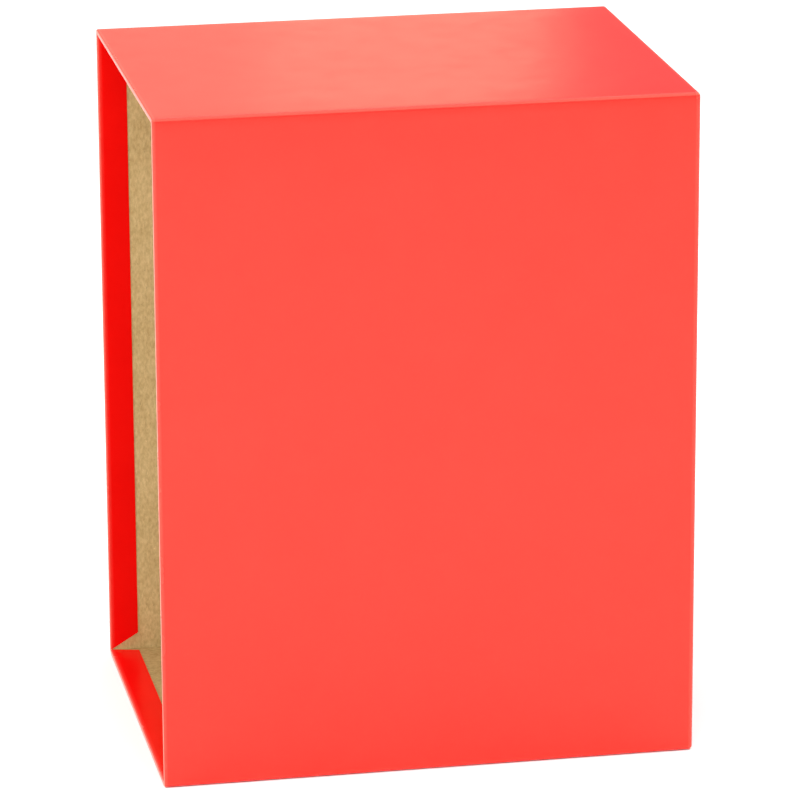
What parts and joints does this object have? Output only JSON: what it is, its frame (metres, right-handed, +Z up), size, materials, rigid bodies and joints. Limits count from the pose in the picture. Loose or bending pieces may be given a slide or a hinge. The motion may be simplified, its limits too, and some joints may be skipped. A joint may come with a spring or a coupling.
{
  "type": "slipcase for lever-arch files",
  "caption": "Open-sided upright slipcase in red paper-covered board with a bare kraft inside and paper turned in round its mouth.",
  "frame": {"origin": "centre of the underside, on the surface that the case stands on", "axes": "+Z up along the case's height, the open mouth faces -X, the closed spine side faces +X, the large front side faces -Y and the set of files stacks along Y"},
  "size_m": [0.288, 0.218, 0.364],
  "materials": {
    "kraft_board": "uncoated kraft face, fibrous and matte",
    "stay_paper": "plain gummed paper",
    "cover_paper": "coated cover paper with a soft sheen"
  },
  "bodies": {
    "root": {"front_board": "kraft_board", "back_board": "kraft_board", "top_board": "kraft_board", "bottom_board": "kraft_board", "spine_board": "kraft_board", "stay_top_front": "stay_paper", "stay_top_back": "stay_paper", "stay_bottom_front": "stay_paper", "stay_bottom_back": "stay_paper", "stay_spine_front": "stay_paper", "stay_spine_back": "stay_paper", "stay_spine_top": "stay_paper", "stay_spine_bottom": "stay_paper", "wrap_sheet": "cover_paper", "base_sheet": "cover_paper", "spine_sheet": "cover_paper"}
  },
  "joints": []
}
